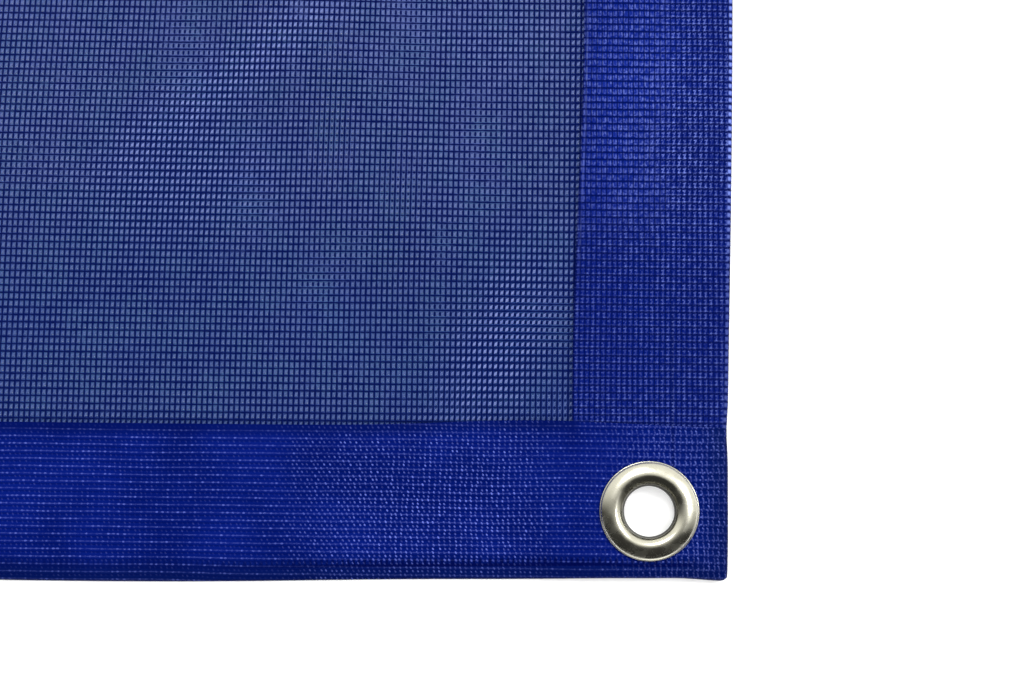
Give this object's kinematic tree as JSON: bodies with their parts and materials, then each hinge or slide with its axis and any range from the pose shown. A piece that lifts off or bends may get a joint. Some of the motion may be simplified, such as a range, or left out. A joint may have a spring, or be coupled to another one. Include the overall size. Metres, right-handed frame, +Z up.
{
  "type": "pond net",
  "caption": "Rectangular blue open-weave net sheet with welded hems and round metal eyelets, lying flat, for covering a pond.",
  "frame": {"origin": "middle of the net on the surface that it lies on", "axes": "+X along the long sides, +Y from the bottom hem to the top hem, +Z up from the surface"},
  "size_m": [0.801, 0.601, 0.0066],
  "materials": {
    "mesh": "navy coated yarn in an open weave, half gloss",
    "hem": "blue coated cloth welded in two layers, half gloss, with the weave showing through",
    "nickel": "nickel plated brass, polished, slightly warm"
  },
  "bodies": {
    "root": {"net_panel": "mesh", "hem_bottom": "hem", "hem_top": "hem", "grommet_bottom_left": "nickel", "grommet_bottom_middle": "nickel", "grommet_bottom_right": "nickel", "grommet_top_left": "nickel", "grommet_top_middle": "nickel", "grommet_top_right": "nickel", "washer_bottom_left": "nickel", "washer_bottom_middle": "nickel", "washer_bottom_right": "nickel", "washer_top_left": "nickel", "washer_top_middle": "nickel", "washer_top_right": "nickel"}
  },
  "joints": []
}
